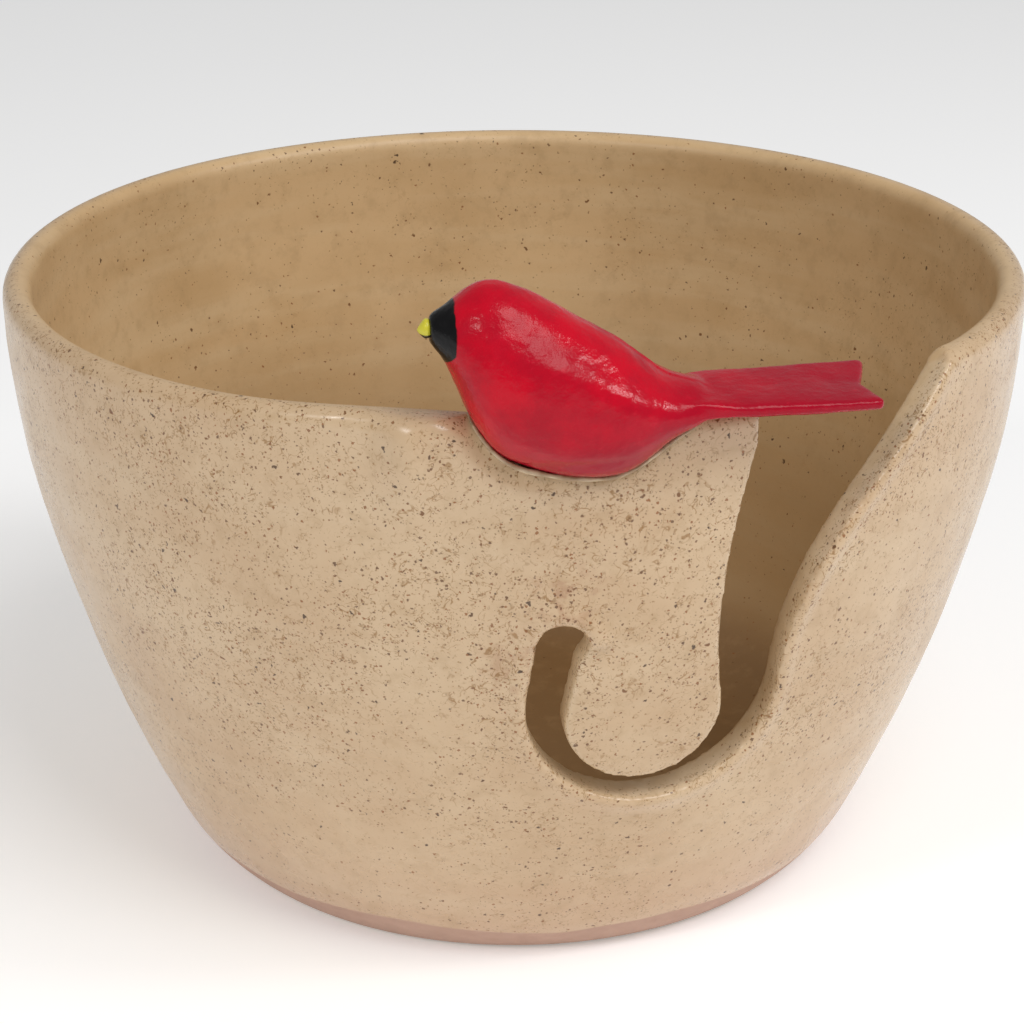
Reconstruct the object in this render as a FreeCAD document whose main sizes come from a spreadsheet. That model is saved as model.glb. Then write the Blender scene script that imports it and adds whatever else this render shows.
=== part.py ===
import FreeCAD, Part
import math
import os
import Sketcher

# Yarn bowl: a wheel-thrown stoneware bowl with a J-shaped slot that feeds the yarn,
# and a small clay bird glued into a saddle scooped out of the rim.
# Frame: origin at the middle of the flat foot, +Z up, -Y towards the front of the bowl.
# The bird perches near the front and looks towards -X; the slot opens on its +X side.

doc = FreeCAD.newDocument("yarn_bowl")
sheet = doc.addObject("Spreadsheet::Sheet", "dims")
sheet.Label = "dims"

SIZES = [
    # the thrown bowl
    ("rim_radius", 89.0),         # outside radius where the wall stands upright below the lip
    ("rim_height", 107.0),        # foot to crest of the lip
    ("wall", 5.0),                # thickness of the thrown wall
    ("floor_thickness", 7.0),
    ("upper_curve", 158.0),       # radius of the wall's curve near the rim
    ("lower_curve", 291.0),       # radius of the wall's flatter curve lower down
    ("curve_change_height", 72.0),
    ("foot_radius", 57.5),
    ("bevel_height", 9.0),        # height of the trimmed bevel above the foot
    ("bevel_curve", 27.0),
    ("well_curve", 26.0),         # inside corner between floor and wall
    # the J-shaped slot, drawn on an upright plane that stands slot_distance from the axis
    ("slot_bearing", 22.0),       # degrees from the front towards +X
    ("slot_distance", 80.0),
    ("knife_bearing", 10.0),      # the knife is held at this bearing, not square to the wall,
    ("knife_rise", 8.0),          # and its point is this many degrees higher than its handle
    ("knife_reach", 60.0),        # how far the cut runs, well through the wall
    ("tongue_side", -10.4),       # rounded bottom of the tongue, sideways from the plane's middle
    ("tongue_height", 55.0),
    ("tongue_radius", 13.1),
    ("bend_side", -8.8),          # the slot's outer bend, which goes round the tongue
    ("bend_height", 58.1),
    ("bend_radius", 20.9),
    ("end_side", -24.5),          # round hole at the end of the hook
    ("end_height", 69.9),
    ("end_radius", 4.0),
    ("flare_curve", 44.3),        # curve that opens the slot's mouth to the rim
    ("flare_sweep", 44.3),        # degrees of that curve
    ("tongue_top_side", 4.9),     # the tongue's upper edge just under the crest
    ("tongue_top_drop", 5.0),     # and how far under it that is
    ("tongue_waist_side", 0.9),   # where the tongue's edge stands furthest over
    ("tongue_waist_height", 80.0),
    ("mouth_above_rim", 20.0),    # the outline closes this far above the rim
    # the bird, in its own frame: +X along its back towards the tail, heights from the rim's crest
    ("bird_bearing", 6.0),        # degrees from the front towards +X
    ("bird_yaw", 0.5),            # how far the tail swings inwards from the rim's tangent
    ("face_along", -21.5),
    ("face_rise", 14.5),
    ("face_half_width", 2.0),
    ("face_half_height", 1.9),
    ("brow_along", -19.3),
    ("brow_rise", 13.7),
    ("brow_half_width", 4.2),
    ("brow_half_height", 4.2),
    ("cheek_along", -16.2),
    ("cheek_rise", 11.3),
    ("cheek_half_width", 7.0),
    ("cheek_half_height", 8.8),
    ("crown_along", -11.2),
    ("crown_rise", 8.1),
    ("crown_half_width", 9.5),
    ("crown_half_height", 13.1),
    ("breast_along", -6.0),
    ("breast_rise", 5.9),
    ("breast_half_width", 10.6),
    ("breast_half_height", 13.2),
    ("belly_along", 0.0),
    ("belly_rise", 3.7),
    ("belly_half_width", 11.0),
    ("belly_half_height", 12.0),
    ("back_along", 5.7),
    ("back_rise", 2.1),
    ("back_half_width", 10.3),
    ("back_half_height", 10.2),
    ("rump_along", 10.3),
    ("rump_rise", 1.6),
    ("rump_half_width", 8.8),
    ("rump_half_height", 7.4),
    ("root_along", 14.5),
    ("root_rise", 1.9),
    ("root_half_width", 7.4),
    ("root_half_height", 4.5),
    ("tail_along", 19.0),
    ("tail_rise", 2.7),
    ("tail_half_width", 6.9),
    ("tail_half_height", 1.7),
    ("tail_end_along", 44.2),
    ("tail_lift", 3.6),           # degrees that the tail rises towards its end
    ("tail_notch", 2.2),          # depth of the V cut in the tail's end
    ("tail_rounding", 1.0),
    ("beak_length", 1.9),
    ("beak_base_radius", 1.6),
    ("beak_tip_radius", 0.4),
    # the glue that holds the bird in its saddle
    ("glue_gap", 0.5),            # thickness of the glue between bird and bowl
    ("glue_squeeze", 1.2),        # how far it is squeezed out past the wall's faces
]
for row, (alias, value) in enumerate(SIZES, start=1):
    sheet.set("A%d" % row, alias)
    sheet.set("B%d" % row, "%g" % value)
    sheet.setAlias("B%d" % row, alias)
doc.recompute()
d = {alias: sheet.get(alias) for alias, value in SIZES}


END_OPENING = math.radians(50)   # the channel enters the round hole below its right-hand side
TONGUE_TURN = 0.1                # radians past level where the tongue's bottom meets its side
ROUNDING_SHARE = 0.4             # the most of the tail's thickness that its rounding takes
ROOT_STEP = 1.0                  # edges this close to the tail's root stay square
START, END = 1, 2                # a sketch edge's first and last vertex


def plane_of(body, role):
    """The body's own origin plane of that role."""
    return [feature for feature in body.Origin.OriginFeatures if feature.Role == role][0]


def flat_sketch(body, name, role):
    """An empty sketch lying on one of the body's own origin planes."""
    sketch = body.newObject("Sketcher::SketchObject", name)
    sketch.AttachmentSupport = [(plane_of(body, role), "")]
    sketch.MapMode = "FlatFace"
    return sketch


def arc(centre, radius, start, end):
    """Arc of a circle in the sketch, counter-clockwise from start to end in radians."""
    circle = Part.Circle(FreeCAD.Vector(centre[0], centre[1], 0), FreeCAD.Vector(0, 0, 1), radius)
    return Part.ArcOfCircle(circle, start, end)


def line(start, end):
    return Part.LineSegment(FreeCAD.Vector(start[0], start[1], 0), FreeCAD.Vector(end[0], end[1], 0))


def angle(centre, point):
    return math.atan2(point[1] - centre[1], point[0] - centre[0])


def along(centre, toward, distance):
    """The point at that distance from centre, in the direction of toward."""
    heading = angle(centre, toward)
    return (centre[0] + distance * math.cos(heading), centre[1] + distance * math.sin(heading))


def along_turn(centre, radius, turn):
    """The point of the circle at that many radians from its right-hand side."""
    return (centre[0] + radius * math.cos(turn), centre[1] + radius * math.sin(turn))


def circle_through(first, second, third):
    """Centre of the circle through three points."""
    a = (second[0] - first[0], second[1] - first[1])
    b = (third[0] - first[0], third[1] - first[1])
    twice_area = 2.0 * (a[0] * b[1] - a[1] * b[0])
    a_square = a[0] ** 2 + a[1] ** 2
    b_square = b[0] ** 2 + b[1] ** 2
    return (first[0] + (b[1] * a_square - a[1] * b_square) / twice_area,
            first[1] + (a[0] * b_square - b[0] * a_square) / twice_area)


def positive(radians):
    return radians % (2.0 * math.pi)


def height_on_circle(centre, radius, height):
    """The point of the circle's right-hand side at that height."""
    return (centre[0] + math.sqrt(radius ** 2 - (height - centre[1]) ** 2), height)


def join(sketch, geometry):
    """Add the pieces to the sketch. Each piece is (shape, start vertex, end vertex)."""
    numbers = [sketch.addGeometry(shape, False) for shape, start, end in geometry]
    for index, number in enumerate(numbers):
        following = (index + 1) % len(numbers)
        end_vertex = geometry[index][2]
        start_vertex = geometry[following][1]
        sketch.addConstraint(Sketcher.Constraint(
            "Coincident", number, end_vertex, numbers[following], start_vertex))
    return numbers


def bind(sketch, constraint, formula):
    number = sketch.addConstraint(constraint)
    sketch.setExpression("Constraints[%d]" % number, formula)


def thrown_wall(name, grow):
    """The bowl as it comes off the wheel, with its wall grown by that much on both sides."""
    body = doc.addObject("PartDesign::Body", name)
    sketch = flat_sketch(body, name + "_section", "XZ_Plane")
    lip_radius = d["wall"] / 2.0
    lip_height = d["rim_height"] - lip_radius
    upper = (d["rim_radius"] - d["upper_curve"], lip_height)
    change = height_on_circle(upper, d["upper_curve"], d["curve_change_height"])
    lower = along(change, upper, d["lower_curve"])
    bevel_top = height_on_circle(lower, d["lower_curve"] + grow, d["bevel_height"])
    foot_edge = (d["foot_radius"] + grow, 0.0)
    lip = (d["rim_radius"] - lip_radius, lip_height)
    outer_change = along(upper, change, d["upper_curve"] + grow)
    inner_change = along(upper, change, d["upper_curve"] - d["wall"] - grow)
    lip_outer = (d["rim_radius"] + grow, lip_height)
    lip_inner = (d["rim_radius"] - d["wall"] - grow, lip_height)

    # inside corner: tangent to the floor and to the wall's inner curve
    inner_lower = d["lower_curve"] - d["wall"] - grow
    well_height = d["floor_thickness"] + d["well_curve"]
    well = height_on_circle(lower, inner_lower - d["well_curve"], well_height)
    well_wall = along(lower, well, inner_lower)
    well_floor = (well[0], d["floor_thickness"])

    # trimmed bevel: a shallow arc from the foot up to the wall
    middle = ((foot_edge[0] + bevel_top[0]) / 2.0, (foot_edge[1] + bevel_top[1]) / 2.0)
    chord = math.dist(foot_edge, bevel_top)
    offset = math.sqrt(d["bevel_curve"] ** 2 - (chord / 2.0) ** 2)
    normal = ((foot_edge[1] - bevel_top[1]) / chord, (bevel_top[0] - foot_edge[0]) / chord)
    bevel = (middle[0] + offset * normal[0], middle[1] + offset * normal[1])

    geometry = [
        (line((0, 0), foot_edge), START, END),
        (arc(bevel, d["bevel_curve"], angle(bevel, foot_edge), angle(bevel, bevel_top)), START, END),
        (arc(lower, d["lower_curve"] + grow, angle(lower, bevel_top), angle(lower, change)), START, END),
        (arc(upper, d["upper_curve"] + grow, angle(upper, change), 0.0), START, END),
        (arc(lip, lip_radius + grow, 0.0, math.pi), START, END),
        (arc(upper, d["upper_curve"] - d["wall"] - grow, angle(upper, inner_change), 0.0), END, START),
        (arc(lower, inner_lower, angle(lower, well_wall), angle(lower, inner_change)), END, START),
        (arc(well, d["well_curve"], -math.pi / 2.0, angle(well, well_wall)), END, START),
        (line(well_floor, (0, d["floor_thickness"])), START, END),
        (line((0, d["floor_thickness"]), (0, 0)), START, END),
    ]
    g = join(sketch, geometry)
    extra = " + %g mm" % grow
    foot_side = Sketcher.Constraint("DistanceX", -1, 1, g[0], END, foot_edge[0])
    lip_side = Sketcher.Constraint("DistanceX", -1, 1, g[3], END, lip_outer[0])
    lip_level = Sketcher.Constraint("DistanceY", -1, 1, g[3], END, lip_height)
    floor_level = Sketcher.Constraint("DistanceY", -1, 1, g[8], END, d["floor_thickness"])
    lower_radius = Sketcher.Constraint("Radius", g[2], d["lower_curve"] + grow)
    upper_radius = Sketcher.Constraint("Radius", g[3], d["upper_curve"] + grow)
    bind(sketch, foot_side, "dims.foot_radius * 1 mm" + extra)
    bind(sketch, Sketcher.Constraint("Radius", g[1], d["bevel_curve"]), "dims.bevel_curve * 1 mm")
    bind(sketch, lower_radius, "dims.lower_curve * 1 mm" + extra)
    bind(sketch, upper_radius, "dims.upper_curve * 1 mm" + extra)
    bind(sketch, Sketcher.Constraint("Radius", g[4], lip_radius + grow), "dims.wall / 2 * 1 mm" + extra)
    bind(sketch, lip_side, "dims.rim_radius * 1 mm" + extra)
    bind(sketch, lip_level, "(dims.rim_height - dims.wall / 2) * 1 mm")
    bind(sketch, floor_level, "dims.floor_thickness * 1 mm")
    revolve = body.newObject("PartDesign::Revolution", name + "_thrown")
    revolve.Profile = sketch
    revolve.ReferenceAxis = (sketch, ["V_Axis"])
    revolve.Angle = 360
    sketch.Visibility = False
    return body


def knife_heading():
    """Unit vector of the knife's stroke into the bowl, in the body's axes."""
    bearing = math.radians(d["knife_bearing"])
    rise = math.radians(d["knife_rise"])
    return FreeCAD.Vector(
        -math.sin(bearing) * math.cos(rise), math.cos(bearing) * math.cos(rise), math.sin(rise))


def slot_outline(body, name):
    """The J-slot's outline on an upright plane at slot_bearing, drawn back in front of the wall.

    Sides are measured across the plane and heights from the foot, where the knife's
    strokes pass slot_distance from the bowl's axis."""
    heading = knife_heading()
    back_off = d["knife_reach"] / 2.0
    sketch = flat_sketch(body, name, "XZ_Plane")
    turn = FreeCAD.Rotation(FreeCAD.Vector(0, 1, 0), d["slot_bearing"])
    base = turn.multVec(FreeCAD.Vector(0, 0, d["slot_distance"]))
    base -= FreeCAD.Vector(heading.x, heading.z, -heading.y) * back_off
    sketch.AttachmentOffset = FreeCAD.Placement(base, turn)

    tongue = (d["tongue_side"], d["tongue_height"])
    bend = (d["bend_side"], d["bend_height"])
    end = (d["end_side"], d["end_height"])
    tongue_radius = d["tongue_radius"]
    bend_radius = d["bend_radius"]
    end_radius = d["end_radius"]
    flare_radius = d["flare_curve"]
    top = d["rim_height"] + d["mouth_above_rim"]

    # the channel's two sides run up from the bend into the round hole at its end
    bend_left = (bend[0] - bend_radius, bend[1])
    tongue_left = (tongue[0] - tongue_radius, tongue[1])
    end_left = (end[0] - end_radius, end[1])
    end_right = (end[0] + end_radius * math.cos(END_OPENING), end[1] - end_radius * math.sin(END_OPENING))
    flare = (bend[0] + bend_radius + flare_radius, bend[1])
    sweep = math.radians(d["flare_sweep"])
    flare_end = (flare[0] - flare_radius * math.cos(sweep), flare[1] + flare_radius * math.sin(sweep))
    mouth_right = (flare_end[0] + (top - flare_end[1]) * math.tan(sweep), top)
    waist = (d["tongue_waist_side"], d["tongue_waist_height"])
    tongue_top = (d["tongue_top_side"], d["rim_height"] - d["tongue_top_drop"])
    tongue_side = along_turn(tongue, tongue_radius, TONGUE_TURN)
    stem = circle_through(tongue_side, waist, tongue_top)
    stem_radius = math.dist(stem, waist)
    stem_top = positive(angle(stem, tongue_top))
    stem_foot = positive(angle(stem, tongue_side))
    mouth_left = (tongue_top[0], top)

    geometry = [
        (line(end_left, bend_left), START, END),
        (arc(bend, bend_radius, math.pi, 2.0 * math.pi), START, END),
        (arc(flare, flare_radius, math.pi - sweep, math.pi), END, START),
        (line(flare_end, mouth_right), START, END),
        (line(mouth_right, mouth_left), START, END),
        (line(mouth_left, tongue_top), START, END),
        (arc(stem, stem_radius, stem_top, stem_foot), START, END),
        (arc(tongue, tongue_radius, math.pi, 2.0 * math.pi + TONGUE_TURN), END, START),
        (line(tongue_left, end_right), START, END),
        (arc(end, end_radius, -END_OPENING, math.pi), START, END),
    ]
    g = join(sketch, geometry)
    bind(sketch, Sketcher.Constraint("Radius", g[1], bend_radius), "dims.bend_radius * 1 mm")
    bind(sketch, Sketcher.Constraint("Radius", g[2], flare_radius), "dims.flare_curve * 1 mm")
    bind(sketch, Sketcher.Constraint("Radius", g[7], tongue_radius), "dims.tongue_radius * 1 mm")
    bind(sketch, Sketcher.Constraint("Radius", g[9], end_radius), "dims.end_radius * 1 mm")
    sketch.Visibility = False
    return sketch


# The thrown bowl, then the J-slot cut out of its wall while the clay is leather-hard.
bowl_body = thrown_wall("thrown_bowl", 0.0)
doc.recompute()
whole_volume = bowl_body.Shape.Volume
slot = bowl_body.newObject("PartDesign::Pocket", "slot_cut")
slot.Profile = slot_outline(bowl_body, "slot_outline")
slot.Type = 0
slot.UseCustomVector = True
slot.Direction = knife_heading()
slot.AlongSketchNormal = False
slot.setExpression("Length", "dims.knife_reach * 1 mm")
doc.recompute()
print("bowl volume before and after the slot", whole_volume, bowl_body.Shape.Volume)

# The bird's place: over the middle of the lip, its own frame turned so that its back runs along the rim.
seat_angle = math.radians(d["bird_bearing"])
perch_radius = d["rim_radius"] - d["wall"] / 2.0
bird_place = FreeCAD.Placement(
    FreeCAD.Vector(
        perch_radius * math.sin(seat_angle),
        -perch_radius * math.cos(seat_angle),
        d["rim_height"]),
    FreeCAD.Rotation(FreeCAD.Vector(0, 0, 1), d["bird_bearing"] + d["bird_yaw"]))


def bird_ring(station, rise, half_width, half_height, grow):
    """One oval section of the bird, square to its back."""
    circle = Part.makeCircle(1.0, FreeCAD.Vector(0, 0, 0), FreeCAD.Vector(1, 0, 0))
    stretch = FreeCAD.Matrix()
    stretch.A22 = half_width + grow
    stretch.A33 = half_height + grow
    stretch.A14 = station
    stretch.A34 = rise
    return Part.Wire(circle.transformGeometry(stretch).Edges)


def bird_lump(grow):
    """Head and body rolled from one lump of clay, grown by that much all round."""
    rings = []
    for part in ("face", "brow", "cheek", "crown", "breast", "belly", "back", "rump", "root", "tail"):
        station = d[part + "_along"] - (grow if part == "face" else 0.0)
        rings.append(bird_ring(
            station, d[part + "_rise"], d[part + "_half_width"], d[part + "_half_height"], grow))
    return Part.makeLoft(rings, True, False)


def tail_slab():
    """The flat tail, cut from a rolled slab, with a shallow V in its end."""
    root = d["root_along"]
    half = d["tail_half_width"]
    end = d["tail_end_along"]
    notch = end - d["tail_notch"]
    thickness = 2.0 * d["tail_half_height"]
    low = d["tail_rise"] - d["tail_half_height"]
    corners = [(root, -half), (end, -half), (notch, 0), (end, half), (root, half), (root, -half)]
    outline = Part.makePolygon([FreeCAD.Vector(x, y, low) for x, y in corners])
    slab = Part.Face(outline).extrude(FreeCAD.Vector(0, 0, thickness))
    rounding = min(d["tail_rounding"], thickness * ROUNDING_SHARE)
    outer_edges = [edge for edge in slab.Edges if edge.CenterOfMass.x > root + ROOT_STEP]
    slab = slab.makeFillet(rounding, outer_edges)
    hinge = FreeCAD.Vector(d["tail_along"], 0, d["tail_rise"])
    slab.rotate(hinge, FreeCAD.Vector(0, 1, 0), -d["tail_lift"])
    return slab


def feature(name, shape, placement):
    """A free-form piece of the document, with its own name and place."""
    piece = doc.addObject("Part::Feature", name)
    piece.Label = name
    piece.Shape = shape
    piece.Placement = placement
    return piece


lump = feature("bird_lump", bird_lump(0.0), bird_place)
tail = feature("tail_slab", tail_slab(), bird_place)
bird = doc.addObject("Part::Fuse", "bird")
bird.Label = "bird"
bird.Base = lump
bird.Tool = tail
saddle = feature("saddle_space", bird_lump(d["glue_gap"]), bird_place)

# The bowl loses the saddle that the bird sits in.
bowl = doc.addObject("Part::Cut", "bowl")
bowl.Label = "bowl"
bowl.Base = bowl_body
bowl.Tool = saddle

# The glue fills the saddle round the bird and is squeezed out a little past the wall's faces.
squeezed_wall = thrown_wall("squeezed_wall", d["glue_squeeze"])
glue_region = doc.addObject("Part::Common", "glue_region")
glue_region.Base = squeezed_wall
glue_region.Tool = saddle
glue = doc.addObject("Part::Cut", "glue_bed")
glue.Label = "glue_bed"
glue.Base = glue_region
glue.Tool = lump

# The beak is a small pellet pressed onto the front of the head.
beak = doc.addObject("Part::Cone", "beak")
beak.Label = "beak"
beak.setExpression("Radius1", "dims.beak_base_radius * 1 mm")
beak.setExpression("Radius2", "dims.beak_tip_radius * 1 mm")
beak.setExpression("Height", "dims.beak_length * 1 mm")
beak.Placement = bird_place.multiply(FreeCAD.Placement(
    FreeCAD.Vector(d["face_along"], 0, d["face_rise"]),
    FreeCAD.Rotation(FreeCAD.Vector(0, 1, 0), -90)))
doc.recompute()

pieces = [bowl, bird, beak, glue]
for item in doc.Objects:
    if "Invalid" in item.State or "Error" in item.State:
        raise RuntimeError("%s did not compute: %s" % (item.Label, item.State))
os.makedirs("parts", exist_ok=True)
for piece in pieces:
    shape = piece.Shape
    if shape.isNull() or not shape.isValid():
        raise RuntimeError("%s has no valid shape" % piece.Label)
    print(piece.Label, "solids", len(shape.Solids), "volume", round(shape.Volume, 1), shape.BoundBox)
    shape.exportStep("parts/%s.step" % piece.Label)
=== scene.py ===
import math
import bmesh
import bpy
from mathutils import Matrix, Vector, noise
from mathutils.bvhtree import BVHTree
from mathutils.kdtree import KDTree


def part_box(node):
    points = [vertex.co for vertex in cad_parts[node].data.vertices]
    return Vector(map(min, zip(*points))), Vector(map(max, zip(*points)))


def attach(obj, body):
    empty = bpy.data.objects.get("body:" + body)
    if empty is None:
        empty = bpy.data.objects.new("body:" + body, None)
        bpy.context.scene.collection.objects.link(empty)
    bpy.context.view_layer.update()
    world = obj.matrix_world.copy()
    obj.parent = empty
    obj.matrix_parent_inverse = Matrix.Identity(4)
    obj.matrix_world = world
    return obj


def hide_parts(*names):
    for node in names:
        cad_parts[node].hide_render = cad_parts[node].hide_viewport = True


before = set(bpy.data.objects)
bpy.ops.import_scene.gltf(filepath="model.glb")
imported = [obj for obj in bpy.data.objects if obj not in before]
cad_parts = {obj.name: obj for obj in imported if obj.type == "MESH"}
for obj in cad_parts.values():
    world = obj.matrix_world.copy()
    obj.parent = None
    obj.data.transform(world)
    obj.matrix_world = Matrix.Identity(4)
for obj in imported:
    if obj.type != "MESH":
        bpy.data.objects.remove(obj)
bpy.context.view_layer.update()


# ---------------------------------------------------------------------------
# The bowl: one piece of stoneware thrown on the wheel, with a J-shaped yarn slot cut through
# the leather-hard wall and a saddle pressed into the rim. It is dipped in a creamy glaze that
# lets the iron specks of the clay come through; only the trimmed bevel at the foot stays bare.

rim_radius = 0.089
rim_height = Vector(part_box("bowl")[1]).z
wall_thickness = 0.005
upper_curve = 0.158            # radius of the wall's outline near the rim, and lower down
lower_curve = 0.291
curve_change_height = 0.072
bowl_grain = 0.0006            # size of the facets that the bowl's wet clay is worked in
bowl_strokes = 10              # wipes of the sponge
bowl_facets = 192000           # triangles of the finished bowl


def copy_of_node(node, name):
    """A welded copy of a CAD node's surface, as an object of its own."""
    surface = bmesh.new()
    surface.from_mesh(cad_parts[node].data)
    bmesh.ops.remove_doubles(surface, verts=surface.verts, dist=1e-6)
    mesh = bpy.data.meshes.new(name)
    surface.to_mesh(mesh)
    surface.free()
    piece = bpy.data.objects.new(name, mesh)
    bpy.context.collection.objects.link(piece)
    return piece


def apply_modifiers(piece):
    """Turn the piece and its modifiers into one plain mesh."""
    graph = bpy.context.evaluated_depsgraph_get()
    finished = bpy.data.meshes.new_from_object(piece.evaluated_get(graph))
    piece.modifiers.clear()
    piece.data = finished


def work_like_clay(piece, grain, strokes):
    """Rebuild the surface in even facets and wipe its edges round, as a wet sponge does."""
    clay = piece.modifiers.new("clay", "REMESH")
    clay.mode = "VOXEL"
    clay.voxel_size = grain
    sponge = piece.modifiers.new("sponge", "SMOOTH")
    sponge.factor = 0.5
    sponge.iterations = strokes
    apply_modifiers(piece)


def thin_out(piece, facets):
    """Drop the facets that flat stretches don't need."""
    triangles = sum(len(polygon.vertices) - 2 for polygon in piece.data.polygons)
    fewer = piece.modifiers.new("fewer", "DECIMATE")
    fewer.ratio = min(1.0, facets / triangles)
    apply_modifiers(piece)
    piece.data.shade_smooth()


def smooth_step(low, high, value):
    share = min(max((value - low) / (high - low), 0.0), 1.0)
    return share * share * (3.0 - 2.0 * share)


def hump(value, middle, width):
    """1 at the middle, fading to nothing on both sides."""
    return math.exp(-((value - middle) / width) ** 2)


def bearing_of(point):
    """Degrees round the bowl from the front (-Y), positive towards +X."""
    return math.degrees(math.atan2(point.x, -point.y))


def wall_radius(height):
    """Radius of the wall's outer face at that height."""
    lip_height = rim_height - wall_thickness / 2.0
    middle_of_upper = rim_radius - upper_curve
    if height >= curve_change_height:
        return middle_of_upper + math.sqrt(upper_curve ** 2 - (height - lip_height) ** 2)
    sine = (curve_change_height - lip_height) / upper_curve
    cosine = math.sqrt(1.0 - sine * sine)
    change_radius = middle_of_upper + upper_curve * cosine
    lower_middle = (change_radius - lower_curve * cosine, curve_change_height - lower_curve * sine)
    return lower_middle[0] + math.sqrt(lower_curve ** 2 - (height - lower_middle[1]) ** 2)


# the slot, as it was cut: drawn on an upright plane and stroked through with a slanting knife
slot_bearing = math.radians(22.0)
slot_across = Vector((math.cos(slot_bearing), math.sin(slot_bearing), 0.0))
slot_out = Vector((math.sin(slot_bearing), -math.cos(slot_bearing), 0.0))
slot_distance = 0.080
knife_bearing = math.radians(10.0)
knife_rise = math.radians(8.0)
knife = Vector((-math.sin(knife_bearing) * math.cos(knife_rise),
                math.cos(knife_bearing) * math.cos(knife_rise), math.sin(knife_rise)))
bend = (-0.0088, 0.0581, 0.0209)           # side, height and radius of the outer bend
flare = (0.0564, 0.0581, 0.0443)           # and of the curve that opens it to the rim
flare_end = (0.0247, 0.0890)
flare_heading = (0.698, 0.716)
hook_end = (-0.0245, 0.0699, 0.0040)


def beyond_slot(point):
    """How far the point lies outside the slot's right-hand and lower edge."""
    stroke = (slot_distance - point.dot(slot_out)) / knife.dot(slot_out)
    spot = point + knife * stroke
    side, height = spot.dot(slot_across), spot.z
    if height < bend[1]:
        return math.hypot(side - bend[0], height - bend[1]) - bend[2]
    if side < bend[0] and height > hook_end[1]:
        return math.hypot(side - hook_end[0], height - hook_end[1]) - hook_end[2]
    if side < bend[0]:
        return bend[0] - bend[2] - side
    if height < flare_end[1]:
        return flare[2] - math.hypot(side - flare[0], height - flare[1])
    return (side - flare_end[0]) * flare_heading[1] - (height - flare_end[1]) * flare_heading[0]


bowl = copy_of_node("bowl", "thrown_bowl")
work_like_clay(bowl, bowl_grain, bowl_strokes)

# The potter's hand: throwing rings up the wall, a rim that isn't quite level, a rolled lip
# along the slot, and clay that swelled up where the bird's saddle was pressed into the rim.
bird_shape = BVHTree.FromObject(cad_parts["bird"], bpy.context.evaluated_depsgraph_get())
shoulder_bearing = -8.5        # degrees round the rim, beside the bird's breast
still_radius = 0.020           # the middle of the floor stays as it was thrown
ring_depth = 0.00008           # the throwing rings, and the slow wander of the whole wall
wander_depth = 0.00022
rim_lift = 0.0013              # the rim stands up here beside the bird
rim_dip = 0.0008               # and sinks this much at the far left
shoulder_swell = 0.0011        # clay pushed out beside the breast, broadly and in one lump
lump_swell = 0.0021
slot_lip = 0.0009              # the rolled lip along the slot
edge_wear = 0.0004             # how far the slot's right-hand edge is wiped back
saddle_reach = 0.010           # how far round the bird the saddle's clay moved
saddle_swell = 0.0007
saddle_sink = 0.0008
for vertex in bowl.data.vertices:
    place = vertex.co
    radius = math.hypot(place.x, place.y)
    if radius < still_radius:
        continue
    outward = Vector((place.x / radius, place.y / radius, 0.0))
    bearing = bearing_of(place)
    height = place.z
    outside = smooth_step(-0.0035, -0.0015, radius - wall_radius(height))
    ring = noise.noise(Vector((height * 230.0, outward.x * 0.7, outward.y * 0.7)))
    wander = noise.noise(Vector((place.x * 16.0, place.y * 16.0, height * 34.0)))
    push = smooth_step(0.010, 0.026, height) * (ring_depth * ring + wander_depth * wander)
    near_rim = smooth_step(rim_height - 0.026, rim_height - 0.003, height)
    beside = hump(bearing, shoulder_bearing, 6.0)
    rise = near_rim * (rim_lift * hump(bearing, -10.0, 15.0) - rim_dip * hump(bearing, -75.0, 40.0))
    push += shoulder_swell * beside * near_rim * outside
    push += lump_swell * hump(bearing, -9.5, 2.8) * hump(height, rim_height - 0.006, 0.008) * outside
    if -12.0 < bearing < 60.0 and height > 0.030:
        edge = beyond_slot(place)
        lip_growth = smooth_step(rim_height + 0.002, rim_height - 0.014, height)
        if -0.001 < edge < 0.008:
            uneven = 0.75 + 0.5 * noise.noise(place * 60.0)
            push += slot_lip * uneven * hump(edge, 0.0012, 0.0017) * outside * lip_growth
        if abs(edge) < 0.0030 and bearing > 8.0:
            outer_share = smooth_step(0.0, -wall_thickness, radius - wall_radius(height))
            push -= edge_wear * outer_share * hump(edge, 0.0, 0.0014)
    if -22.0 < bearing < 26.0 and height > rim_height - 0.022:
        spot, normal, number, gap = bird_shape.find_nearest(place)
        if gap is not None and gap < saddle_reach:
            left = smooth_step(10.0, -4.0, bearing)
            push += saddle_swell * hump(gap, 0.0045, 0.0022) * outside * left
            push -= saddle_sink * hump(gap, 0.0010, 0.0014) * outside * left
    vertex.co += outward * push
    vertex.co.z += rise

thin_out(bowl, bowl_facets)

# Where the glaze runs thin or thick, and how near each point lies to the slot's cut edges, where specks
# crowd and a pale painted highlight runs: kept as attributes that the material reads.
cut_reach = 0.008              # the glaze is thin this far from a cut edge
cut_points = []
for vertex in bowl.data.vertices:
    if vertex.co.y < 0.0 and vertex.co.z > 0.030 and vertex.co.x > -0.025:
        radius = math.hypot(vertex.co.x, vertex.co.y)
        depth = wall_radius(min(vertex.co.z, rim_height)) - radius
        facing = (vertex.normal.x * vertex.co.x + vertex.normal.y * vertex.co.y) / radius
        if 0.0008 < depth < 0.0042 and abs(facing) < 0.72 and vertex.co.z < rim_height - 0.002:
            cut_points.append(vertex.co.copy())
cut_edges = KDTree(len(cut_points))
for number, point in enumerate(cut_points):
    cut_edges.insert(point, number)
cut_edges.balance()
near_cut = bowl.data.attributes.new("near_cut", "FLOAT", "POINT")
within = bowl.data.attributes.new("within", "FLOAT", "POINT")
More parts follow.
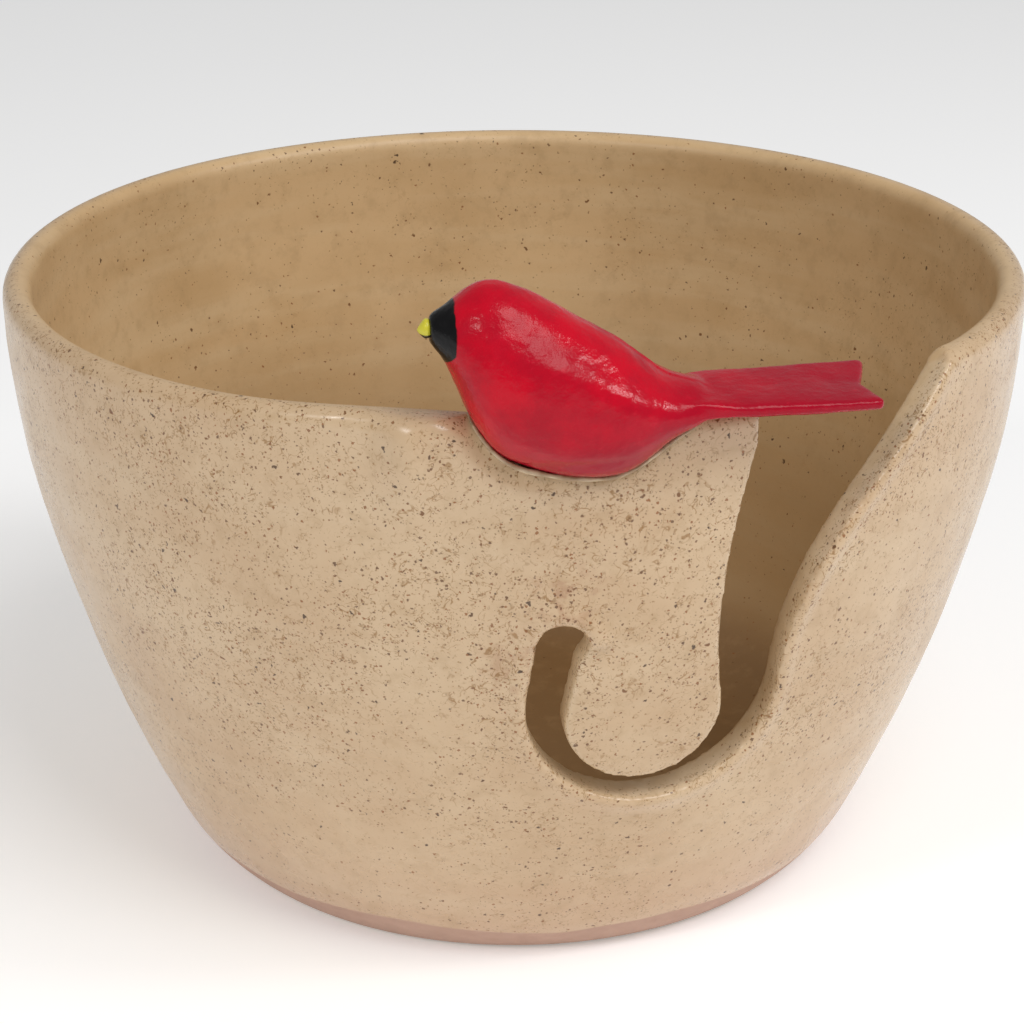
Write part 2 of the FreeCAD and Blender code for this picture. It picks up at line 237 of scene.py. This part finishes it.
for number, vertex in enumerate(bowl.data.vertices):
    radius = math.hypot(vertex.co.x, vertex.co.y)
    height = min(vertex.co.z, rim_height - wall_thickness / 2.0)
    depth = (wall_radius(height) - radius) / wall_thickness
    level = smooth_step(0.0030, 0.0040, vertex.co.z) if radius < 0.05 else 1.0
    within.data[number].value = smooth_step(0.15, 0.85, depth) * level
    if vertex.co.y < 0.0 and vertex.co.z > 0.022:
        spot, index, gap = cut_edges.find(vertex.co)
        near_cut.data[number].value = max(0.0, 1.0 - gap / cut_reach)


class Shader:
    """A material's node tree, with short ways to add nodes and join them."""

    def __init__(self, name):
        self.material = bpy.data.materials.new(name)
        self.material.use_nodes = True
        self.tree = self.material.node_tree
        self.surface = self.tree.nodes["Principled BSDF"]
        self.place = self.add("ShaderNodeTexCoord").outputs["Object"]

    def add(self, kind, **settings):
        node = self.tree.nodes.new(kind)
        for name, value in settings.items():
            setattr(node, name, value)
        return node

    def feed(self, socket, source):
        if hasattr(source, "is_output"):
            self.tree.links.new(source, socket)
        else:
            socket.default_value = source

    def attribute(self, name):
        return self.add("ShaderNodeAttribute", attribute_name=name).outputs["Fac"]

    def noise(self, scale, detail=2.0, roughness=0.5, place=None, distortion=0.0):
        node = self.add("ShaderNodeTexNoise")
        self.feed(node.inputs["Vector"], place or self.place)
        node.inputs["Scale"].default_value = scale
        node.inputs["Detail"].default_value = detail
        node.inputs["Roughness"].default_value = roughness
        node.inputs["Distortion"].default_value = distortion
        return node.outputs["Fac"]

    def math(self, operation, first, second=0.0, clamp=False):
        node = self.add("ShaderNodeMath", operation=operation, use_clamp=clamp)
        self.feed(node.inputs[0], first)
        self.feed(node.inputs[1], second)
        return node.outputs[0]

    def ramp(self, value, low, high, low_out=0.0, high_out=1.0):
        """Smooth step of the value from low to high."""
        node = self.add("ShaderNodeMapRange", interpolation_type="SMOOTHSTEP")
        self.feed(node.inputs["Value"], value)
        node.inputs["From Min"].default_value = low
        node.inputs["From Max"].default_value = high
        node.inputs["To Min"].default_value = low_out
        node.inputs["To Max"].default_value = high_out
        return node.outputs["Result"]

    def mix(self, share, first, second):
        """From the first colour to the second by that share."""
        node = self.add("ShaderNodeMix", data_type="RGBA")
        self.feed(node.inputs["Factor"], share)
        self.feed(node.inputs["A"], first)
        self.feed(node.inputs["B"], second)
        return node.outputs["Result"]

    def mix_value(self, share, first, second):
        node = self.add("ShaderNodeMix", data_type="FLOAT")
        self.feed(node.inputs["Factor"], share)
        self.feed(node.inputs["A"], first)
        self.feed(node.inputs["B"], second)
        return node.outputs["Result"]

    def stretched(self, scale):
        """The object's coordinates, stretched along its axes."""
        node = self.add("ShaderNodeMapping")
        self.feed(node.inputs["Vector"], self.place)
        node.inputs["Scale"].default_value = scale
        return node.outputs["Vector"]

    def close_to(self, point, reach):
        """1 at that point, fading to 0 at reach from it."""
        node = self.add("ShaderNodeVectorMath", operation="DISTANCE")
        self.feed(node.inputs[0], self.place)
        node.inputs[1].default_value = point
        return self.ramp(node.outputs["Value"], 0.0, reach, 1.0, 0.0)

    def bump(self, height, distance, strength=1.0):
        node = self.add("ShaderNodeBump")
        node.inputs["Distance"].default_value = distance
        node.inputs["Strength"].default_value = strength
        self.feed(node.inputs["Height"], height)
        self.feed(self.surface.inputs["Normal"], node.outputs["Normal"])


def colour(red, green, blue):
    """A colour given as it looks on a screen, 0 to 255."""
    def linear(value):
        share = value / 255.0
        return share / 12.92 if share <= 0.04045 else ((share + 0.055) / 1.055) ** 2.4
    return (linear(red), linear(green), linear(blue), 1.0)


def specks(shader, spacing, smallest, largest, share, crowding):
    """Iron specks of uneven size and shape: 1 on a speck, 0 on the clear glaze.

    Share is the part of the spots, spacing metres apart, that hold one."""
    wobble = shader.add("ShaderNodeTexNoise")
    shader.feed(wobble.inputs["Vector"], shader.place)
    wobble.inputs["Scale"].default_value = 1.9 / spacing
    wobble.inputs["Detail"].default_value = 3.0
    shift = shader.add("ShaderNodeVectorMath", operation="MULTIPLY_ADD")
    shader.feed(shift.inputs[0], wobble.outputs["Color"])
    shift.inputs[1].default_value = (0.9 * spacing, 0.9 * spacing, 0.9 * spacing)
    shader.feed(shift.inputs[2], shader.place)
    cells = shader.add("ShaderNodeTexVoronoi", feature="F1")
    shader.feed(cells.inputs["Vector"], shift.outputs["Vector"])
    cells.inputs["Scale"].default_value = 1.0 / spacing
    split = shader.add("ShaderNodeSeparateColor")
    shader.feed(split.inputs["Color"], cells.outputs["Color"])
    size = shader.ramp(split.outputs["Red"], 0.0, 1.0, smallest / spacing, largest / spacing)
    chosen = shader.math("LESS_THAN", split.outputs["Green"], shader.math("MULTIPLY", crowding, share))
    inside = shader.math("SUBTRACT", size, cells.outputs["Distance"])
    edge = shader.ramp(inside, -0.02, 0.07)
    return shader.math("MULTIPLY", edge, chosen), split.outputs["Blue"]


def threads(shader, scale, width, crowding):
    """Fine hair-like marks, where the glaze pulled apart as it melted."""
    veins = shader.noise(scale, 1.0, 0.4, distortion=0.8)
    band = shader.math("ABSOLUTE", shader.math("SUBTRACT", veins, 0.5))
    line = shader.ramp(band, 0.0, width, 1.0, 0.0)
    gaps = shader.noise(scale * 0.9, 1.0, 0.5, place=shader.stretched((1.0, 1.3, 0.9)))
    broken = shader.ramp(gaps, 0.50, 0.62)
    return shader.math("MULTIPLY", shader.math("MULTIPLY", line, broken), crowding, clamp=True)


def stoneware():
    """Cream glaze over speckled clay outside, golden where it is thicker inside, with painted shade
    darkening the inside towards the floor.
    """
    glaze = Shader("speckled_stoneware")
    split = glaze.add("ShaderNodeSeparateXYZ")
    glaze.feed(split.inputs["Vector"], glaze.place)
    height = split.outputs["Z"]
    inside = glaze.attribute("within")
    cut = glaze.attribute("near_cut")

    cloud = glaze.noise(34.0, 4.0, 0.55)
    streak = glaze.noise(1.0, 3.0, 0.6, place=glaze.stretched((18.0, 18.0, 150.0)))
    mottle = glaze.noise(230.0, 4.0, 0.65)
    cream = glaze.mix(glaze.ramp(cloud, 0.35, 0.68), colour(208, 180, 145), colour(198, 167, 131))
    cream = glaze.mix(glaze.ramp(height, 0.030, 0.004, 0.0, 0.6), cream, colour(196, 162, 132))
    cream = glaze.mix(glaze.ramp(streak, 0.42, 0.75, 0.0, 0.30), cream, colour(214, 191, 159))
    golden = glaze.mix(glaze.ramp(cloud, 0.35, 0.7), colour(212, 178, 132), colour(200, 165, 118))
    golden = glaze.mix(glaze.ramp(streak, 0.4, 0.75, 0.0, 0.6), golden, colour(218, 190, 148))
    # painted shade: the golden inside is darkened lower down and darkest near the floor, standing in
    # for the shade deep inside the bowl
    golden = glaze.mix(glaze.ramp(height, 0.078, 0.040, 0.0, 0.60), golden, colour(140, 106, 62))
    golden = glaze.mix(glaze.ramp(height, 0.024, 0.010, 0.0, 0.75), golden, colour(112, 80, 44))
    base = glaze.mix(inside, cream, golden)
    base = glaze.mix(glaze.ramp(mottle, 0.46, 0.74, 0.0, 0.30), base, colour(170, 138, 96))

    # iron gathers along the slot's edges, above the hook's end and in drifts on the wall
    drift = glaze.ramp(glaze.noise(48.0, 3.0, 0.6), 0.34, 0.66, 0.40, 1.35)
    drift = glaze.math("MULTIPLY", drift, glaze.ramp(height, 0.012, 0.060, 0.45, 1.0))
    hook_stain = glaze.close_to((0.0015, -0.0845, 0.066), 0.011)
    roof_stain = glaze.close_to((0.0075, -0.0868, 0.0785), 0.010)
    stain = glaze.math("MAXIMUM", hook_stain, roof_stain)
    crowding = glaze.math("ADD", drift, glaze.math("MULTIPLY", stain, 0.8))
    crowding = glaze.math("ADD", crowding, glaze.math("MULTIPLY", cut, 0.35))
    crowding = glaze.math("MULTIPLY", crowding, glaze.ramp(inside, 0.2, 0.9, 1.0, 0.18))
    # painted highlight: the slot's cut faces and edges are turned paler, standing in for the light that
    # catches them
    pale = glaze.mix(glaze.ramp(mottle, 0.3, 0.7), colour(226, 208, 178), colour(212, 188, 152))
    base = glaze.mix(glaze.ramp(cut, 0.80, 0.93, 0.0, 0.35), base, pale)
    blotches = glaze.ramp(glaze.noise(420.0, 3.0, 0.6), 0.42, 0.66)
    rusty = glaze.math("MULTIPLY", stain, blotches, clamp=True)
    base = glaze.mix(glaze.math("MULTIPLY", rusty, 0.45), base, colour(150, 92, 58))

    hairs = threads(glaze, 520.0, 0.034, crowding)
    fine_hairs = threads(glaze, 840.0, 0.044, crowding)
    dust, dust_tone = specks(glaze, 0.00048, 0.00008, 0.00018, 0.46, crowding)
    small, small_tone = specks(glaze, 0.00074, 0.00012, 0.00026, 0.40, crowding)
    large, large_tone = specks(glaze, 0.0018, 0.00020, 0.00040, 0.42, crowding)
    olive = colour(146, 102, 40)
    rust = colour(136, 78, 20)
    iron = colour(88, 50, 14)
    nearly_black = colour(58, 33, 12)
    base = glaze.mix(glaze.math("MULTIPLY", hairs, 0.70), base, colour(144, 102, 46))
    base = glaze.mix(glaze.math("MULTIPLY", fine_hairs, 0.55), base, colour(136, 96, 44))
    dust_colour = glaze.mix(dust_tone, olive, colour(108, 80, 48))
    base = glaze.mix(glaze.math("MULTIPLY", dust, 0.65), base, dust_colour)
    small_colour = glaze.mix(glaze.ramp(small_tone, 0.25, 0.8), rust, iron)
    base = glaze.mix(glaze.math("MULTIPLY", small, 0.80), base, small_colour)
    large_colour = glaze.mix(glaze.ramp(large_tone, 0.2, 0.8), colour(112, 66, 20), nearly_black)
    base = glaze.mix(glaze.math("MULTIPLY", large, 0.88), base, large_colour)

    # the bare clay of the bevel and the foot, below a wavy glaze line
    wave = glaze.math("MULTIPLY", glaze.math("SUBTRACT", glaze.noise(30.0, 2.0), 0.5), 0.0045)
    line = glaze.math("ADD", height, wave)
    outer_face = glaze.ramp(inside, 0.4, 0.6, 1.0, 0.0)
    bare = glaze.math("MULTIPLY", glaze.ramp(line, 0.0066, 0.0060), outer_face)
    clay = glaze.mix(glaze.noise(260.0, 4.0, 0.6), colour(198, 164, 146), colour(172, 138, 120))
    base = glaze.mix(bare, base, clay)
    glaze.feed(glaze.surface.inputs["Base Color"], base)

    gloss = glaze.ramp(glaze.noise(90.0, 3.0), 0.3, 0.7, 0.20, 0.32)
    gloss = glaze.mix_value(inside, gloss, 0.42)
    glaze.feed(glaze.surface.inputs["Roughness"], glaze.mix_value(bare, gloss, 0.78))
    glaze.surface.inputs["IOR"].default_value = 1.52
    ripple = glaze.math("MULTIPLY", glaze.noise(520.0, 2.0), 0.25)
    waves = glaze.math("ADD", glaze.noise(150.0, 2.0, 0.5), ripple)
    pits = glaze.math("ADD", glaze.math("MULTIPLY", small, -0.25), glaze.math("MULTIPLY", large, -0.35))
    glaze.bump(glaze.math("ADD", waves, pits), 0.00010, 0.55)
    return glaze.material


bowl.data.materials.append(stoneware())
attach(bowl, "root")
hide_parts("bowl")


# ---------------------------------------------------------------------------
# The bird: a songbird rolled and pinched from one lump of clay, its tail a flat slab cut with a
# V at the end. It is dipped in a glossy red glaze, and a black mask is brushed on round the beak.

bird_turn = math.radians(6.5)
bird_bearing = math.radians(6.0)
perch_radius = rim_radius - wall_thickness / 2.0
perch = Vector((
    perch_radius * math.sin(bird_bearing), -perch_radius * math.cos(bird_bearing), rim_height))
bird_place = Matrix.Translation(perch) @ Matrix.Rotation(bird_turn, 4, "Z")
bird_view = bird_place.inverted()
bird_grain = 0.00036
bird_strokes = 12
bird_facets = 120000
tail_start = 0.016
tail_half_width = 0.0069
tail_thinning = 0.45           # share of the tail's thickness pinched away at its sides
tail_flare = 0.12              # how much wider the tail grows towards its end
far_edge_lift = 0.0010         # the tail is twisted: its far edge stands up, the near one hangs
near_edge_drop = 0.0003
fired_shrink = 0.00008

bird = copy_of_node("bird", "red_bird")
work_like_clay(bird, bird_grain, bird_strokes)
for vertex in bird.data.vertices:
    own = bird_view @ vertex.co
    tail = smooth_step(tail_start, tail_start + 0.008, own.x)
    middle = 0.0027 + (own.x - 0.019) * math.tan(math.radians(3.6))
    sideways = min(1.0, max(-1.0, own.y / tail_half_width))
    thin = 1.0 - tail_thinning * tail * sideways ** 2
    own.z = middle + (own.z - middle) * thin
    own.z += tail * (far_edge_lift * max(0.0, sideways) + near_edge_drop * min(0.0, sideways))
    own.y *= 1.0 + tail_flare * tail * smooth_step(0.020, 0.044, own.x)
    vertex.co = bird_place @ own
for turn in range(2):
    normals = [vertex.normal.copy() for vertex in bird.data.vertices]
    for vertex, normal in zip(bird.data.vertices, normals):
        own = bird_view @ vertex.co
        dent = -fired_shrink
        if turn == 0:
            # pressed flats: along the back's near side and under the belly
            dent += 0.00034 * noise.noise(own * 105.0)
            slope = own.x * 0.46 + (own.z - 0.0125)
            near_side = 1.0 if own.y < 0.0 else 0.0
            dent -= 0.00040 * hump(slope, -0.0003, 0.0022) * hump(own.x, 0.004, 0.013) * near_side
            dent += 0.00030 * hump(slope, -0.0042, 0.0022) * hump(own.x, 0.004, 0.014) * near_side
            dent -= 0.00035 * hump(own.z, -0.0045 + 0.12 * own.x, 0.0012) * hump(own.x, 0.0, 0.009)
        else:
            dent += 0.00010 * noise.noise(own * 330.0) + 0.00004 * noise.noise(own * 900.0)
        vertex.co += normal * dent
bird.data.update()
thin_out(bird, bird_facets)


def red_glaze():
    paint = Shader("red_bird_glaze")
    shift = paint.add("ShaderNodeMapping", vector_type="TEXTURE")
    paint.feed(shift.inputs["Vector"], paint.place)
    shift.inputs["Location"].default_value = perch
    shift.inputs["Rotation"].default_value = (0.0, 0.0, bird_turn)
    split = paint.add("ShaderNodeSeparateXYZ")
    paint.feed(split.inputs["Vector"], shift.outputs["Vector"])
    along, rise = split.outputs["X"], split.outputs["Z"]

    pool = paint.noise(110.0, 4.0, 0.6)
    fine = paint.noise(700.0, 3.0, 0.6)
    red = paint.mix(paint.ramp(pool, 0.35, 0.68), colour(198, 0, 32), colour(172, 0, 30))
    # painted shade: the red darkens towards the underside of the body, more so towards the tail, where
    # less light falls
    below = paint.math("SUBTRACT", rise, paint.math("MULTIPLY", along, 0.25))
    belly = paint.ramp(below, 0.007, -0.008, 0.0, 0.75)
    red = paint.mix(belly, red, colour(150, 2, 34))
    red = paint.mix(paint.ramp(fine, 0.58, 0.80, 0.0, 0.22), red, colour(220, 30, 56))
    bloom = paint.ramp(paint.noise(60.0, 3.0, 0.7), 0.60, 0.78, 0.0, 0.20)
    red = paint.mix(bloom, red, colour(196, 50, 74))

    # the mask's back edge is upright at the crown and slants forward below the beak
    under_beak = paint.math("MINIMUM", paint.math("SUBTRACT", rise, 0.0118), 0.0)
    slant = paint.math("MULTIPLY", under_beak, -0.75)
    wobble = paint.math("MULTIPLY", paint.math("SUBTRACT", paint.noise(420.0, 2.0), 0.5), 0.0007)
    edge = paint.math("ADD", paint.math("ADD", along, slant), wobble)
    mask = paint.ramp(edge, -0.01785, -0.01760, 1.0, 0.0)
    black = paint.mix(paint.ramp(pool, 0.4, 0.7), colour(7, 6, 7), colour(13, 12, 14))
    paint.feed(paint.surface.inputs["Base Color"], paint.mix(mask, red, black))
    paint.feed(paint.surface.inputs["Roughness"], paint.ramp(pool, 0.3, 0.7, 0.16, 0.26))
    paint.surface.inputs["IOR"].default_value = 1.5
    paint.surface.inputs["Specular IOR Level"].default_value = 0.22
    orange_peel = paint.math("MULTIPLY", paint.noise(480.0, 2.0), 0.8)
    grain = paint.math("ADD", paint.noise(1300.0, 2.0, 0.6), orange_peel)
    paint.bump(grain, 0.00009, 0.85)
    return paint.material


bird.data.materials.append(red_glaze())
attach(bird, "root")
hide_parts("bird")


# ---------------------------------------------------------------------------
# The beak: a crumb of clay pressed onto the face before firing and touched in with yellow glaze,
# with a thin dark line where the lower half of the beak meets the mask.

beak_length = 0.0024
beak_half_width = 0.00140
beak_half_height = 0.00145
beak_droop = 0.00022
beak_root = Vector((-0.0224, 0.0, 0.0146))     # in the bird's own frame


def pinched_beak():
    crumb = bmesh.new()
    bmesh.ops.create_uvsphere(crumb, u_segments=32, v_segments=20, radius=1.0)
    for vertex in crumb.verts:
        forward = max(0.0, -vertex.co.x)
        slim = 1.0 - 0.62 * forward ** 1.3
        vertex.co.y *= beak_half_width * slim
        vertex.co.z *= beak_half_height * slim
        vertex.co.z -= beak_droop * forward
        vertex.co.x *= beak_length / 2.0
    bmesh.ops.transform(crumb, matrix=bird_place @ Matrix.Translation(
        beak_root + Vector((beak_length * 0.28, 0.0, 0.0))), verts=crumb.verts)
    mesh = bpy.data.meshes.new("yellow_beak")
    crumb.to_mesh(mesh)
    crumb.free()
    piece = bpy.data.objects.new("yellow_beak", mesh)
    bpy.context.collection.objects.link(piece)
    return piece


beak = pinched_beak()
beak.data.shade_smooth()


def yellow_glaze():
    paint = Shader("yellow_beak_glaze")
    split = paint.add("ShaderNodeSeparateXYZ")
    paint.feed(split.inputs["Vector"], paint.place)
    cloud = paint.noise(700.0, 2.0)
    yellow = paint.mix(cloud, colour(222, 214, 60), colour(196, 184, 44))
    level = paint.math("SUBTRACT", split.outputs["Z"], rim_height + beak_root.z)
    shade = paint.ramp(level, -0.00055, -0.00085)
    paint.feed(paint.surface.inputs["Base Color"], paint.mix(shade, yellow, colour(40, 32, 20)))
    paint.surface.inputs["Roughness"].default_value = 0.3
    paint.bump(paint.noise(900.0, 2.0), 0.00004, 0.3)
    return paint.material


beak.data.materials.append(yellow_glaze())
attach(beak, "root")
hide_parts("beak")


# ---------------------------------------------------------------------------
# The glue: clear adhesive that fills the saddle under the bird and stands in a glossy bead
# along the joint on both sides of the rim.

glue_grain = 0.00022
glue_strokes = 5
glue_facets = 90000
swell = 0.00015                # the bead stands this far proud of the joint, give or take a ripple
ripple = 0.00012

glue = copy_of_node("glue_bed", "glue_bead")
work_like_clay(glue, glue_grain, glue_strokes)
normals = [vertex.normal.copy() for vertex in glue.data.vertices]
for vertex, normal in zip(glue.data.vertices, normals):
    vertex.co += normal * (swell + ripple * noise.noise(vertex.co * 420.0))
thin_out(glue, glue_facets)


def clear_glue():
    resin = Shader("clear_glue")
    tint = resin.noise(300.0, 2.0)
    milk = resin.mix(resin.ramp(tint, 0.35, 0.65), colour(208, 184, 150), colour(168, 138, 104))
    resin.feed(resin.surface.inputs["Base Color"], milk)
    resin.surface.inputs["Roughness"].default_value = 0.10
    resin.surface.inputs["Transmission Weight"].default_value = 0.15
    resin.surface.inputs["IOR"].default_value = 1.5
    resin.bump(resin.noise(700.0, 2.0), 0.00010, 0.5)
    return resin.material


glue.data.materials.append(clear_glue())
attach(glue, "root")
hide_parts("glue_bed")


# ---------------------------------------------------------------------------
# The table: a plain pale sheet that sweeps away behind the bowl. A big panel lights it from
# above the front right, with two small windows for the glints and pale light all round.

table = bmesh.new()
bmesh.ops.create_grid(table, x_segments=1, y_segments=1, size=4.0)
table_mesh = bpy.data.meshes.new("table")
table.to_mesh(table_mesh)
table.free()
floor = bpy.data.objects.new("table", table_mesh)
bpy.context.collection.objects.link(floor)
paper = Shader("white_paper")
sheet = paper.mix(paper.noise(6.0, 2.0), (0.94, 0.94, 0.94, 1.0), (0.93, 0.93, 0.93, 1.0))
paper.feed(paper.surface.inputs["Base Color"], sheet)
paper.surface.inputs["Roughness"].default_value = 0.9
paper.surface.inputs["Emission Color"].default_value = (1.0, 1.0, 1.0, 1.0)
paper.surface.inputs["Emission Strength"].default_value = 0.24
paper.surface.inputs["Specular IOR Level"].default_value = 0.1
floor.data.materials.append(paper.material)


def soft_light(name, place, width, power, warmth):
    """A square diffuser that faces the bowl."""
    lamp = bpy.data.lights.new(name, "AREA")
    lamp.shape = "SQUARE"
    lamp.size = width
    lamp.energy = power
    lamp.color = warmth
    fitting = bpy.data.objects.new(name, lamp)
    fitting.location = place
    aim = Vector((0.0, 0.0, 0.06)) - Vector(place)
    fitting.rotation_euler = aim.to_track_quat("-Z", "Y").to_euler()
    bpy.context.collection.objects.link(fitting)


soft_light("left_window", (-0.52, -0.62, 0.66), 0.15, 1.5, (1.0, 0.985, 0.96))
soft_light("right_window", (0.80, -0.22, 0.68), 0.18, 1.7, (0.98, 0.985, 1.0))
soft_light("ceiling_panel", (0.38, -0.54, 1.00), 0.60, 5.7, (1.0, 0.995, 0.99))

room = bpy.data.worlds.new("pale_room")
room.use_nodes = True
room.node_tree.nodes["Background"].inputs["Color"].default_value = (1.0, 1.0, 1.0, 1.0)
room.node_tree.nodes["Background"].inputs["Strength"].default_value = 0.36
bpy.context.scene.world = room

lens = bpy.data.cameras.new("camera")
lens.sensor_width = 36.0
lens.lens = 87.88
lens.shift_x = -0.002
camera = bpy.data.objects.new("camera", lens)
camera.location = (0.0, -0.425, 0.2332)
looking_down = math.radians(22.55)
camera.rotation_euler = (math.radians(90.0) - looking_down, 0.0, 0.0)
bpy.context.collection.objects.link(camera)
bpy.context.scene.camera = camera
bpy.context.scene.view_settings.view_transform = "Standard"
